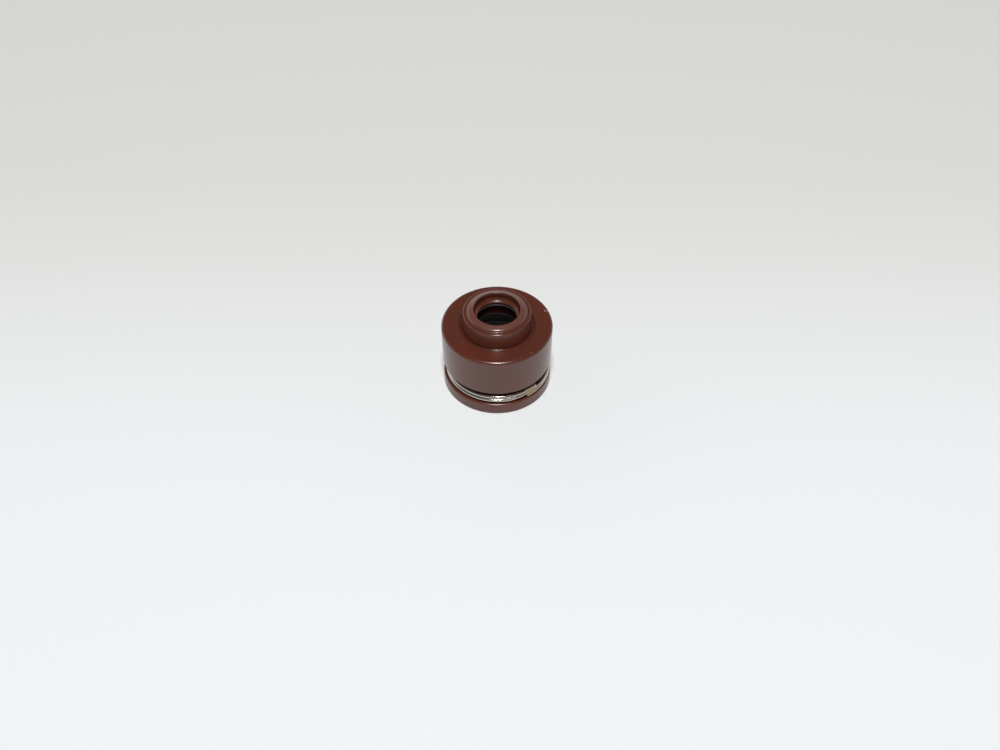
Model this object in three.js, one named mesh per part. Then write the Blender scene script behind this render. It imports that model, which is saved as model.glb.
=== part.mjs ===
import * as THREE from "three";

// Valve stem seal: one moulded rubber body, held on its valve guide by a two-turn wire clip.
// Millimetres, +Z up along the axis, origin at the centre of the base.

// Socket for the valve guide
const SOCKET_R = 4.55;
const LEAD_IN = 0.5; // chamfer at the mouth
const RIB_H = 0.13; // grip ribs
const RIB_HALF = 0.22;
const RIB_LOW_Z = 2.2;
const RIB_PITCH = 1.2;
const RIB_COUNT = 4;
const SOCKET_FILLET = 0.15;

// Wire clip
const WIRE_R = 0.21;
const TURN_GAP = 0.04; // between neighbouring turns
const COIL_SHIFT = 0.1; // the clip stands off a little on the side of its ends
const TOP_END = 46; // degrees from the front towards +X
const WOUND = 732; // degrees, two turns and a short overlap
const END_KICK = 0.08; // the upper end springs outward by this much
const END_SPRING = 12; // degrees over which it does
const CLIP_GAP = 0.02; // clip to groove floor
const CLIP_SIT = 0.05; // clip to flange
const HEADROOM = 0.59; // clip to the top of the groove

// Body, outside
const GROOVE_WALL = 1.17; // rubber between the socket and the groove
const GROOVE_DEPTH = 0.78;
const GROOVE_FILLET = 0.1;
const FLANGE_Z = 1.44; // top of the bottom flange
const FLANGE_TAPER = 0.08;
const FLANGE_EDGE = 0.15;
const BASE_EDGE = 0.15;
const WALL_H = 5.15; // body wall, from the groove to the flat top disc
const WALL_TAPER = 0.06;
const WALL_EDGE = 0.06;
const DISC_EDGE = 0.25;
const DISC_THICK = 1.12; // disc over the socket

// Bore for the valve stem
const LIP_R = 2.27; // free radius of the sealing lip, for a 5 mm stem
const LIP_EDGE = 0.05;
const LIP_LAND = 0.14; // height of the lip's inner face
const LIP_PITCH = 0.4; // second lip below the first
const LIP2_BACK = 0.05; // the second lip is wider by this much
const NOTCH_DEPTH = 0.23; // between the two lips
const THROAT_DEPTH = 0.4; // entry above the lips
const THROAT_RISE = 0.22;
const THROAT_ROUND = 0.4;
const CHAMBER_DEPTH = 0.48; // below the lips
const CHAMBER_DROP = 0.38;
const CHAMBER_EDGE = 0.12;

// Neck
const RIM_STEP = 0.03; // rim's inner edge, behind the throat wall
const RIM_W = 0.42;
const RIM_H = 0.46; // rim over shoulder
const BEAD_W = 0.17; // raised bead along the rim's inner edge
const BEAD_H = 0.1;
const BEAD_ROUND = 0.08;
const RIM_FALL = 0.05; // the rim's top slopes down outwards
const RIM_ROUND = 0.2;
const LIP_DEPTH = 1.33; // sealing lip below the rim
const STEP_W = 0.38; // the rim's sloping outer side
const SHOULDER_W = 0.45;
const SHOULDER_EDGE = 0.13;
const NECK_H = 1.92; // shoulder over disc
const NECK_TAPER = 0.17;
const FOOT_GROOVE_W = 0.3; // shallow groove round the neck's foot
const FOOT_GROOVE_DEPTH = 0.13;
const FOOT_ROUND = 0.06;
const RIDGE_W = 0.08; // and the low ridge outside it
const RIDGE_H = 0.04;

// What follows from them
const GROOVE_R = SOCKET_R + GROOVE_WALL;
const BODY_R = GROOVE_R + GROOVE_DEPTH;
const COIL_R = GROOVE_R + CLIP_GAP + WIRE_R + COIL_SHIFT;
const TURN_PITCH = 2 * WIRE_R + TURN_GAP;
const END_Z = FLANGE_Z + CLIP_SIT + WIRE_R + 2 * TURN_PITCH;
const GROOVE_TOP_Z = END_Z + WIRE_R + HEADROOM;
const DISC_Z = GROOVE_TOP_Z + WALL_H;
const SOCKET_Z = DISC_Z - DISC_THICK;
const SHOULDER_Z = DISC_Z + NECK_H;
const RIM_Z = SHOULDER_Z + RIM_H;
const LIP_Z = RIM_Z - LIP_DEPTH;
const LIP2_Z = LIP_Z - LIP_PITCH;
const THROAT_R = LIP_R + THROAT_DEPTH;
const CHAMBER_R = LIP_R + CHAMBER_DEPTH;
const RIM_IN_R = THROAT_R + RIM_STEP;
const RIM_OUT_R = RIM_IN_R + RIM_W;
const STEP_R = RIM_OUT_R + STEP_W;
const SHOULDER_R = STEP_R + SHOULDER_W;
const NECK_FOOT_R = SHOULDER_R + NECK_TAPER;
const RIDGE_R = NECK_FOOT_R + FOOT_GROOVE_W;

// Where the winding comes down, as shares of one turn's pitch over degrees wound
const FALLS = [
  { share: 0.37, from: 0, to: 36 },
  { share: 0.63, from: 150, to: 300 },
  { share: 0.6, from: 368, to: 396 },
  { share: 0.4, from: 510, to: 660 },
];

const SEGMENTS = 80;
const WIRE_SIDES = 10;
const WIRE_STEP = 5; // degrees of winding for each piece of wire

const rubber = new THREE.MeshStandardMaterial({ color: 0x5c3026, roughness: 0.35, metalness: 0 });
const steel = new THREE.MeshStandardMaterial({ color: 0xa8a49c, roughness: 0.25, metalness: 1 });

// Rounds the corner between two straight lines of a profile.
function roundCorner(before, corner, after, radius, steps) {
  const back = before.clone().sub(corner).normalize();
  const ahead = after.clone().sub(corner).normalize();
  const half = Math.acos(THREE.MathUtils.clamp(back.dot(ahead), -1, 1)) / 2;
  const reach = radius / Math.tan(half);
  const inward = back.clone().add(ahead).normalize();
  const centre = corner.clone().addScaledVector(inward, radius / Math.sin(half));
  const first = corner.clone().addScaledVector(back, reach).sub(centre);
  const last = corner.clone().addScaledVector(ahead, reach).sub(centre);
  const sweep = Math.atan2(first.cross(last), first.dot(last));
  const points = [];
  for (let i = 0; i <= steps; i++) {
    points.push(first.clone().rotateAround(new THREE.Vector2(), (sweep * i) / steps).add(centre));
  }
  return points;
}

// Turns corners [radius, height, rounding, steps] into a closed profile.
function closedProfile(corners) {
  const at = corners.map(([r, z]) => new THREE.Vector2(r, z));
  const n = corners.length;
  const points = corners.flatMap(([, , round = 0, steps = 2], i) =>
    round > 0 ? roundCorner(at[(i + n - 1) % n], at[i], at[(i + 1) % n], round, steps) : [at[i]],
  );
  points.push(points[0].clone());
  return points;
}

function outsideCorners() {
  return [
    [BODY_R, 0, BASE_EDGE, 2],
    [BODY_R - FLANGE_TAPER, FLANGE_Z, FLANGE_EDGE, 3],
    [GROOVE_R, FLANGE_Z, GROOVE_FILLET, 1],
    [GROOVE_R, GROOVE_TOP_Z, GROOVE_FILLET, 1],
    [BODY_R - WALL_TAPER, GROOVE_TOP_Z, WALL_EDGE, 2],
    [BODY_R, DISC_Z, DISC_EDGE, 5],
  ];
}

function neckCorners() {
  return [
    [RIDGE_R + RIDGE_W, DISC_Z],
    [RIDGE_R, DISC_Z + RIDGE_H],
    [RIDGE_R - FOOT_GROOVE_W / 2, DISC_Z - FOOT_GROOVE_DEPTH, FOOT_ROUND, 1],
    [NECK_FOOT_R, DISC_Z - FOOT_GROOVE_DEPTH, FOOT_ROUND, 2],
    [SHOULDER_R, SHOULDER_Z, SHOULDER_EDGE, 3],
    [STEP_R, SHOULDER_Z],
    [RIM_OUT_R, RIM_Z - BEAD_H - RIM_FALL, RIM_ROUND, 4],
    [RIM_IN_R + BEAD_W, RIM_Z - BEAD_H],
    [RIM_IN_R, RIM_Z, BEAD_ROUND, 3],
  ];
}

function stemBoreCorners() {
  return [
    [THROAT_R, LIP_Z + LIP_LAND + THROAT_RISE, THROAT_ROUND, 3],
    [LIP_R + LIP_EDGE / 4, LIP_Z + LIP_LAND, LIP_EDGE, 1],
    [LIP_R, LIP_Z, LIP_EDGE, 1],
    [LIP_R + NOTCH_DEPTH, LIP_Z - LIP_PITCH / 2],
    [LIP_R + LIP2_BACK, LIP2_Z, LIP_EDGE, 2],
    [CHAMBER_R, LIP2_Z - CHAMBER_DROP],
    [CHAMBER_R, SOCKET_Z, CHAMBER_EDGE, 2],
  ];
}

function socketCorners() {
  const ribs = [];
  for (let i = RIB_COUNT - 1; i >= 0; i--) {
    const z = RIB_LOW_Z + i * RIB_PITCH;
    ribs.push([SOCKET_R, z + RIB_HALF], [SOCKET_R - RIB_H, z], [SOCKET_R, z - RIB_HALF]);
  }
  return [
    [SOCKET_R, SOCKET_Z, SOCKET_FILLET, 2],
    ...ribs,
    [SOCKET_R, LEAD_IN],
    [SOCKET_R + LEAD_IN, 0],
  ];
}

function sealBody() {
  const corners = [...outsideCorners(), ...neckCorners(), ...stemBoreCorners(), ...socketCorners()];
  const geometry = new THREE.LatheGeometry(closedProfile(corners), SEGMENTS);
  geometry.rotateX(Math.PI / 2);
  const mesh = new THREE.Mesh(geometry, rubber);
  mesh.name = "seal_body";
  return mesh;
}

// Centre line of the clip, wound down from its upper end.
class ClipLine extends THREE.Curve {
  getPoint(t, target = new THREE.Vector3()) {
    const wound = WOUND * t;
    const angle = THREE.MathUtils.degToRad(TOP_END - wound);
    const { smoothstep } = THREE.MathUtils;
    const radius = COIL_R + END_KICK * (1 - smoothstep(wound, 0, END_SPRING));
    const fallen = FALLS.reduce((sum, f) => sum + f.share * smoothstep(wound, f.from, f.to), 0);
    const height = END_Z - TURN_PITCH * fallen;
    return target.set(COIL_SHIFT + radius * Math.sin(angle), -radius * Math.cos(angle), height);
  }
}

function clampSpring() {
  const section = new THREE.Shape();
  for (let i = 0; i < WIRE_SIDES; i++) {
    const a = (2 * Math.PI * i) / WIRE_SIDES;
    section[i ? "lineTo" : "moveTo"](WIRE_R * Math.cos(a), WIRE_R * Math.sin(a));
  }
  section.closePath();
  const line = new ClipLine();
  line.arcLengthDivisions = 1500;
  const geometry = new THREE.ExtrudeGeometry(section, {
    steps: Math.round(WOUND / WIRE_STEP),
    bevelEnabled: false,
    extrudePath: line,
  });
  const mesh = new THREE.Mesh(geometry, steel);
  mesh.name = "clamp_spring";
  return mesh;
}

const seal = new THREE.Group();
seal.name = "valve_stem_seal";
seal.add(sealBody(), clampSpring());

export default seal;
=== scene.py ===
from math import cos, pi, radians, sin

import bmesh
import bpy
from mathutils import Matrix, Vector


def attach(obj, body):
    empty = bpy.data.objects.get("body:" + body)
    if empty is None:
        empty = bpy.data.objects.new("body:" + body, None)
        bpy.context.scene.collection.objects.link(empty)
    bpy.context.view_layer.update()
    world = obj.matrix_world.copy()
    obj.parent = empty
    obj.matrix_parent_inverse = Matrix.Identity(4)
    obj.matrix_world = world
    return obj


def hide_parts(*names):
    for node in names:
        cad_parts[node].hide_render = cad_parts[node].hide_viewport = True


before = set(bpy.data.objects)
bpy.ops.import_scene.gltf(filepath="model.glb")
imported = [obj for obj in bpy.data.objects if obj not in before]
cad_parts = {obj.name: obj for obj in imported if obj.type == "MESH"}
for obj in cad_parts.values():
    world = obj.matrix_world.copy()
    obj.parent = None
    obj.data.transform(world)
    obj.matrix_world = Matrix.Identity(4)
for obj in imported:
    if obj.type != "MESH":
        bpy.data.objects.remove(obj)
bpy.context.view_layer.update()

millimetre = 0.001


class Value:
    # a socket that reads like a number in an expression
    def __init__(self, shader, socket):
        self.shader = shader
        self.socket = socket

    def maths(self, operation, other):
        return self.shader.node("ShaderNodeMath", {"operation": operation}, {0: self, 1: other})

    def __add__(self, other):
        return self.maths("ADD", other)

    def __sub__(self, other):
        return self.maths("SUBTRACT", other)

    def __rsub__(self, other):
        return self * -1.0 + other

    def __mul__(self, other):
        return self.maths("MULTIPLY", other)

    __radd__ = __add__
    __rmul__ = __mul__


class Shader:
    def __init__(self, tree):
        self.tree = tree
        tree.nodes.clear()

    def node(self, kind, settings=None, sockets=None, output=0):
        made = self.tree.nodes.new(kind)
        for name, value in (settings or {}).items():
            setattr(made, name, value)
        for name, value in (sockets or {}).items():
            if isinstance(value, Value):
                self.tree.links.new(value.socket, made.inputs[name])
            else:
                made.inputs[name].default_value = value
        return Value(self, made.outputs[output]) if len(made.outputs) else None

    def mix(self, factor, low, high):
        # colours or links to colours
        low, high = (c if isinstance(c, Value) else (*c, 1.0) for c in (low, high))
        return self.node(
            "ShaderNodeMix", {"data_type": "RGBA"}, {0: factor, 6: low, 7: high}, output=2)

    def noise(self, where, scale, detail, roughness):
        return self.node(
            "ShaderNodeTexNoise", {},
            {"Vector": where, "Scale": scale, "Detail": detail, "Roughness": roughness})

    def ramp(self, value, low, high):
        # 0 below low, 1 above high, smooth between
        return self.node(
            "ShaderNodeMapRange", {"interpolation_type": "SMOOTHSTEP"},
            {"Value": value, "From Min": low, "From Max": high})

    def spot(self, where, centre, radius):
        # 1 at a point on the piece, fading to 0 at its radius, both in millimetres
        away = self.node(
            "ShaderNodeVectorMath", {"operation": "DISTANCE"},
            {0: where, 1: [c * millimetre for c in centre]}, output=1)
        return 1.0 - self.ramp(away, 0.0, radius * millimetre)

    def inside(self, where, radius, height):
        # 1 within a radius of the axis and below a height, both in millimetres
        fade = 0.1
        flat = self.node(
            "ShaderNodeVectorMath", {"operation": "MULTIPLY"}, {0: where, 1: (1, 1, 0)})
        away = self.node("ShaderNodeVectorMath", {"operation": "LENGTH"}, {0: flat}, output=1)
        up = self.node("ShaderNodeSeparateXYZ", {}, {0: where}, output=2)
        near, low = (
            1.0 - self.ramp(value, (edge - fade) * millimetre, (edge + fade) * millimetre)
            for value, edge in ((away, radius), (up, height)))
        return near * low

    def band(self, where, radius, bottom, top):
        # 1 within a radius of the axis and between two heights
        return self.inside(where, radius, top) * (1.0 - self.inside(where, radius, bottom))


def newMaterial(name):
    material = bpy.data.materials.new(name)
    material.use_nodes = True
    return material, Shader(material.node_tree)


def finishPiece(name, mesh, material, node):
    bmesh.ops.remove_doubles(mesh, verts=mesh.verts, dist=1e-7)
    bmesh.ops.recalc_face_normals(mesh, faces=mesh.faces)
    data = bpy.data.meshes.new(name)
    mesh.to_mesh(data)
    mesh.free()
    data.shade_smooth()
    data.materials.append(material)
    piece = bpy.data.objects.new(name, data)
    bpy.context.scene.collection.objects.link(piece)
    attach(piece, "root")
    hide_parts(node)
    return piece


def turnedMesh(corners, steps):
    # corners are (radius, height, rounding, segments) in millimetres
    longFlat, endPiece = 0.14, 0.02
    mesh = bmesh.new()
    verts = [mesh.verts.new((r, 0, z)) for r, z, *_ in corners]
    for a, b in zip(verts, verts[1:] + verts[:1]):
        mesh.edges.new((a, b))
    for vert, (_, _, *rounding) in zip(verts, corners):
        if rounding:
            bmesh.ops.bevel(
                mesh, geom=[vert], offset=rounding[0], offset_type="OFFSET", segments=rounding[1],
                profile=0.5, affect="VERTICES", material=-1)
    # short pieces at the ends of the long flats keep the shading of each flat even
    for edge in [e for e in mesh.edges if e.calc_length() > longFlat]:
        for vert in edge.verts[:]:
            bmesh.utils.edge_split(edge, vert, endPiece / edge.calc_length())
    bmesh.ops.spin(
        mesh, geom=mesh.verts[:] + mesh.edges[:], cent=(0, 0, 0), axis=(0, 0, 1),
        angle=2 * pi, steps=steps, use_merge=True)
    bmesh.ops.scale(mesh, vec=(millimetre,) * 3, verts=mesh.verts)
    return mesh


# rubber body, radii and heights in millimetres
body = {
    "segments": 240,
    "outerR": 6.5,
    "grooveR": 5.72,
    "flangeZ": 1.44,
    "grooveTopZ": 3.42,
    "discZ": 8.57,
    "neckFootZ": 8.4,
    "shoulderZ": 10.49,
    "lipR": 2.27,
    "lipZ": 9.62,
    "secondLipR": 2.32,
    "secondLipZ": 9.22,
    "chamberR": 2.75,
    "socketR": 4.55,
    "socketZ": 7.45,
    "leadIn": 0.5,
    "ribHeights": (5.8, 4.6, 3.4, 2.2),
    "ribProud": 0.13,
    "ribHalf": 0.22,
    "roughness": 0.15,
    "bumpDepth": 0.02,
    "cloudScale": 420,
    "grainScale": 5200,
    "colour": (0.104, 0.0255, 0.0142),
    # the inside colour is painted shade in the socket and the chamber above it
    "insideShadeColour": (0.026, 0.016, 0.015),
    "rimColour": (0.152, 0.062, 0.046),
    # the foot colour is painted shade in the groove round the neck's foot
    "footShadeColour": (0.06, 0.014, 0.009),
    # the lip colour is a painted highlight on the second lip's edge
    "lipHighlightColour": (0.13, 0.105, 0.095),
    # parts of the surface by radius and height, or by radius and two heights
    # the socket and chamber zones are where that painted shade goes
    "socketShadeZone": (5.2, 7.45),
    "chamberShadeZone": (2.95, 9.1),
    "rimBand": (3.45, 10.56, 12),
    # the foot band is where the groove's painted shade goes
    "footShadeBand": (4.6, 8.3, 8.66),
    # the lip band is where that painted highlight goes
    "lipHighlightBand": (2.5, 9.14, 9.34),
    # nicks and a scuff by the disc's edge, and a dark speck on the neck: centre, radius, colour
    "marks": (
        ((5.62, 2.1, 8.57), 0.14, (0.60, 0.52, 0.45)),
        ((5.9, 2.0, 8.56), 0.12, (0.45, 0.36, 0.30)),
        ((-2.95, 5.5, 8.56), 0.16, (0.36, 0.27, 0.22)),
        ((3.9, -4.75, 8.57), 0.25, (0.17, 0.07, 0.035)),
        ((-0.5, -3.97, 9.95), 0.2, (0.03, 0.01, 0.009)),
    ),
}


def flangeAndGroove():
    outer, groove = body["outerR"], body["grooveR"]
    flange, top = body["flangeZ"], body["grooveTopZ"]
    return [
        (outer, 0, 0.16, 5), (outer - 0.08, flange, 0.17, 6), (groove, flange, 0.1, 4),
        (groove, top, 0.12, 4), (outer - 0.06, top, 0.07, 4),
    ]


def discAndNeck():
    disc, foot, shoulder = body["discZ"], body["neckFootZ"], body["shoulderZ"]
    return [
        # disc, then the low ridge and the groove round the neck's foot
        (body["outerR"], disc, 0.34, 9), (4.5, disc, 0.02, 2), (4.43, disc + 0.03, 0.02, 2),
        (4.33, foot, 0.06, 3), (4.15, foot, 0.05, 3),
        # shoulder, the rim's sloping side, its top and the bead along its inner edge
        (3.93, shoulder, 0.13, 6), (3.50, shoulder, 0.05, 3), (3.36, 10.70, 0.1, 6),
        (2.87, 10.86, 0.04, 3), (2.70, 10.911, 0.08, 6),
    ]


def stemBore():
    lip, lipZ, chamber = body["lipR"], body["lipZ"], body["chamberR"]
    return [
        (2.67, 10.03, 0.24, 8), (lip + 0.015, 9.738, 0.04, 4), (lip, lipZ, 0.04, 4),
        (2.5, 9.42, 0.05, 3), (body["secondLipR"], body["secondLipZ"], 0.05, 4),
        (chamber, 8.84, 0.08, 4), (chamber, body["socketZ"], 0.12, 4),
    ]


def guideSocket():
    socket, half = body["socketR"], body["ribHalf"]
    ribs = []
    for z in body["ribHeights"]:
        ribs += [(socket, z + half), (socket - body["ribProud"], z, 0.1, 4), (socket, z - half)]
    return [
        (socket, body["socketZ"], 0.16, 4), *ribs, (socket, body["leadIn"], 0.05, 2),
        (socket + body["leadIn"], 0, 0.05, 2),
    ]


def rubberMaterial():
    material, make = newMaterial("brownRubber")
    where = make.node("ShaderNodeTexCoord", output=3)
    clouds = make.noise(where, body["cloudScale"], 4, 0.55)
    grain = make.noise(where, body["grainScale"], 3, 0.6)
    red, green, blue = body["colour"]
    colour = make.mix(
        make.ramp(clouds, 0.35, 0.68), (red * 0.93, green * 1.04, blue * 1.08),
        (red * 1.08, green * 0.98, blue * 0.94))
    # painted shade: the socket and the chamber above it are drawn dark, and the socket is also dull
    socket = make.inside(where, *body["socketShadeZone"])
    chamber = make.inside(where, *body["chamberShadeZone"]) * (1.0 - socket)
    colour = make.mix(chamber * 0.5 + socket, colour, body["insideShadeColour"])
    # the rim is a little paler, and the groove round the neck's foot is drawn darker as painted shade
    colour = make.mix(make.band(where, *body["rimBand"]) * 0.75, colour, body["rimColour"])
    colour = make.mix(make.band(where, *body["footShadeBand"]) * 0.5, colour, body["footShadeColour"])
    # the second lip's edge is drawn pale grey as a painted highlight
    colour = make.mix(make.band(where, *body["lipHighlightBand"]), colour, body["lipHighlightColour"])
    for centre, radius, tint in body["marks"]:
        colour = make.mix(make.spot(where, centre, radius), colour, tint)
    bump = make.node(
        "ShaderNodeBump", {},
        {"Strength": 0.12, "Distance": body["bumpDepth"] * millimetre, "Height": grain + clouds * 0.5})
    roughness = body["roughness"] + clouds * 0.10 + grain * 0.06 + socket * 0.5
    surface = make.node(
        "ShaderNodeBsdfPrincipled", {},
        {"Base Color": colour, "Roughness": roughness, "Normal": bump, "IOR": 1.6})
    make.node("ShaderNodeOutputMaterial", {}, {"Surface": surface})
    return material


corners = [*flangeAndGroove(), *discAndNeck(), *stemBore(), *guideSocket()]
sealBody = finishPiece(
    "rubberBody", turnedMesh(corners, body["segments"]), rubberMaterial(), "seal_body")
print("rubber body", len(sealBody.data.polygons), "faces")

# wire clip, millimetres and degrees, wound down from its upper end
clip = {
    "wireR": 0.21,
    "coilR": 6.05,
    "shift": 0.1,
    "topEnd": 46,
    "wound": 732,
    "step": 1.5,
    "sides": 24,
    "endZ": 2.62,
    "pitch": 0.46,
    "kick": 0.08,
    "kickOver": 12,
    "endRound": 0.03,
    # shares of the pitch, and the degrees wound over which they come down
    "falls": ((0.37, 0, 36), (0.63, 150, 300), (0.6, 368, 396), (0.4, 510, 660)),
    "drawnScale": 3000,
    "colours": ((0.50, 0.45, 0.41), (0.64, 0.58, 0.53)),
    # a yellowish daub over the strands between the two ends: from and to along X, its crisp
    # and its ragged edge, and how far it fades towards the back
    "daub": (3.24, 4.5),
    "daubEdges": (0.04, 0.3),
    "daubFade": 0.4,
    "daubColour": (0.53, 0.42, 0.30),
}


def smooth(value, low, high):
    share = min(max((value - low) / (high - low), 0), 1)
    return share * share * (3 - 2 * share)


def clipPoint(wound):
    angle = radians(clip["topEnd"] - wound)
    radius = clip["coilR"] + clip["kick"] * (1 - smooth(wound, 0, clip["kickOver"]))
    fallen = sum(share * smooth(wound, low, high) for share, low, high in clip["falls"])
    height = clip["endZ"] - clip["pitch"] * fallen
    return Vector((clip["shift"] + radius * sin(angle), -radius * cos(angle), height))


def clipMesh():
    mesh = bmesh.new()
    here = clipPoint(0)
    turned = Matrix.Rotation(radians(clip["topEnd"] - 90), 4, "Z") @ Matrix.Rotation(pi / 2, 4, "X")
    bmesh.ops.create_circle(
        mesh, cap_ends=True, radius=clip["wireR"], segments=clip["sides"],
        matrix=Matrix.Translation(here) @ turned)
    edges = mesh.edges[:]
    onward = Matrix.Rotation(radians(-clip["step"]), 3, "Z")
    for i in range(round(clip["wound"] / clip["step"])):
        there = clipPoint((i + 1) * clip["step"])
        grown = bmesh.ops.extrude_edge_only(mesh, edges=edges)["geom"]
        ring = {g for g in grown if isinstance(g, bmesh.types.BMVert)}
        edges = [
            g for g in grown if isinstance(g, bmesh.types.BMEdge) and ring.issuperset(g.verts)]
        bmesh.ops.rotate(mesh, cent=here, matrix=onward, verts=list(ring))
        bmesh.ops.translate(mesh, vec=there - here, verts=list(ring))
        here = there
    bmesh.ops.contextual_create(mesh, geom=edges)
    rims = [e for e in mesh.edges if any(len(f.verts) > 4 for f in e.link_faces)]
    bmesh.ops.bevel(
        mesh, geom=rims, offset=clip["endRound"], offset_type="OFFSET", segments=2, profile=0.5,
        affect="EDGES", material=-1)
    bmesh.ops.scale(mesh, vec=(millimetre,) * 3, verts=mesh.verts)
    return mesh


def wireMaterial():
    material, make = newMaterial("springWire")
    where = make.node("ShaderNodeTexCoord", output=3)
    drawn = make.noise(where, clip["drawnScale"], 3, 0.6)
    across, depth = (
        make.node("ShaderNodeSeparateXYZ", {}, {0: where}, output=i) for i in (0, 1))
    first, last, crisp, ragged, fade = (
        x * millimetre for x in (*clip["daub"], *clip["daubEdges"], clip["daubFade"]))
    daub = make.ramp(across, first - crisp, first + crisp)
    daub = daub * (1.0 - make.ramp(across + drawn * ragged, last, last + ragged))
    daub = daub * (1.0 - make.ramp(depth, -fade, fade))
    colour = make.mix(daub, make.mix(drawn, *clip["colours"]), clip["daubColour"])
    surface = make.node(
        "ShaderNodeBsdfPrincipled", {},
        {"Base Color": colour, "Metallic": 1.0 - daub * 0.35,
         "Roughness": 0.17 + drawn * 0.03 + daub * 0.2})
    make.node("ShaderNodeOutputMaterial", {}, {"Surface": surface})
    return material


wireClip = finishPiece("wireClip", clipMesh(), wireMaterial(), "clamp_spring")
print("wire clip", len(wireClip.data.polygons), "faces")

# floor and light
stage = {
    "floorSize": 3.0,
    # painted shade: the paper is drawn darker and warmer from near to far
    "paperNear": (0.88, 0.91, 0.915),
    "paperFar": (0.77, 0.765, 0.74),
    "paperFade": (-0.02, 0.045),
    # power in watts, elevation in degrees, distance, width and height
    "lamps": {
        "overhead": (8.3, 74, 1.0, 0.14, 0.22),
        "front": (0.009, 52, 0.17, 0.012, 0.012),
    },
    "roomLeft": (1.0, 1.0, 1.0),
    "roomRight": (0.55, 0.56, 0.56),
    "roomDark": (0.05, 0.05, 0.05),
    "roomFront": (0.24, 0.24, 0.24),
    # where the parts of the room shade into each other, along the direction's X, Y and Z
    "leftToRight": (-0.5, 0.5),
    "backFrom": (-0.3, 0.3),
    "backTop": (0.36, 0.6),
    "frontFrom": (-0.6, -0.2),
    "frontTop": (0.1, 0.5),
}


def layFloor():
    mesh = bmesh.new()
    bmesh.ops.create_grid(mesh, x_segments=1, y_segments=1, size=stage["floorSize"])
    data = bpy.data.meshes.new("paperFloor")
    mesh.to_mesh(data)
    mesh.free()
    floor = bpy.data.objects.new("paperFloor", data)
    bpy.context.scene.collection.objects.link(floor)
    material, make = newMaterial("palePaper")
    where = make.node("ShaderNodeTexCoord", output=3)
    depth = make.node("ShaderNodeSeparateXYZ", {}, {0: where}, output=1)
    # painted shade: the paper darkens and warms towards the back
    colour = make.mix(
        make.ramp(depth, *stage["paperFade"]), stage["paperNear"], stage["paperFar"])
    surface = make.node(
        "ShaderNodeBsdfPrincipled", {},
        {"Base Color": colour, "Roughness": 0.9, "Specular IOR Level": 0.1})
    make.node("ShaderNodeOutputMaterial", {}, {"Surface": surface})
    data.materials.append(material)


def lightRoom():
    world = bpy.data.worlds.new("room")
    bpy.context.scene.world = world
    world.use_nodes = True
    make = Shader(world.node_tree)
    direction = make.node("ShaderNodeTexCoord")
    across, depth, height = (
        make.node("ShaderNodeSeparateXYZ", {}, {0: direction}, output=i) for i in range(3))
    back = make.ramp(depth, *stage["backFrom"]) * (1.0 - make.ramp(height, *stage["backTop"]))
    backColour = make.mix(
        make.ramp(across, *stage["leftToRight"]), stage["roomLeft"], stage["roomRight"])
    front = 1.0 - make.ramp(depth, *stage["frontFrom"])
    front = front * (1.0 - make.ramp(height, *stage["frontTop"]))
    colour = make.mix(front, stage["roomDark"], stage["roomFront"])
    surface = make.node(
        "ShaderNodeBackground", {}, {"Color": make.mix(back, colour, backColour)})
    make.node("ShaderNodeOutputWorld", {}, {"Surface": surface})
    for name, (power, elevation, distance, width, height) in stage["lamps"].items():
        lamp = bpy.data.lights.new(name, "AREA")
        lamp.shape = "RECTANGLE"
        lamp.size = width
        lamp.size_y = height
        lamp.energy = power
        light = bpy.data.objects.new(name, lamp)
        rise = radians(elevation)
        light.location = Vector((0, -cos(rise), sin(rise))) * distance
        light.rotation_euler = light.location.to_track_quat("Z", "Y").to_euler()
        bpy.context.scene.collection.objects.link(light)


# camera, from the photograph's ellipses
view = {
    "filmWidth": 36.0,
    "lens": 36.0,
    "elevation": 47.51,
    "distance": 0.1228,
    "target": (0.00035, 0, -0.00034),
}


def placeCamera():
    lens = bpy.data.cameras.new("photoCamera")
    lens.lens = view["lens"]
    lens.sensor_width = view["filmWidth"]
    lens.clip_start = 0.001
    lens.clip_end = 20
    camera = bpy.data.objects.new("photoCamera", lens)
    rise = radians(view["elevation"])
    away = Vector((0, -cos(rise), sin(rise)))
    camera.location = Vector(view["target"]) + away * view["distance"]
    camera.rotation_euler = away.to_track_quat("Z", "Y").to_euler()
    bpy.context.scene.collection.objects.link(camera)
    bpy.context.scene.camera = camera


layFloor()
lightRoom()
placeCamera()
bpy.context.scene.view_settings.view_transform = "Standard"
print("stage set")
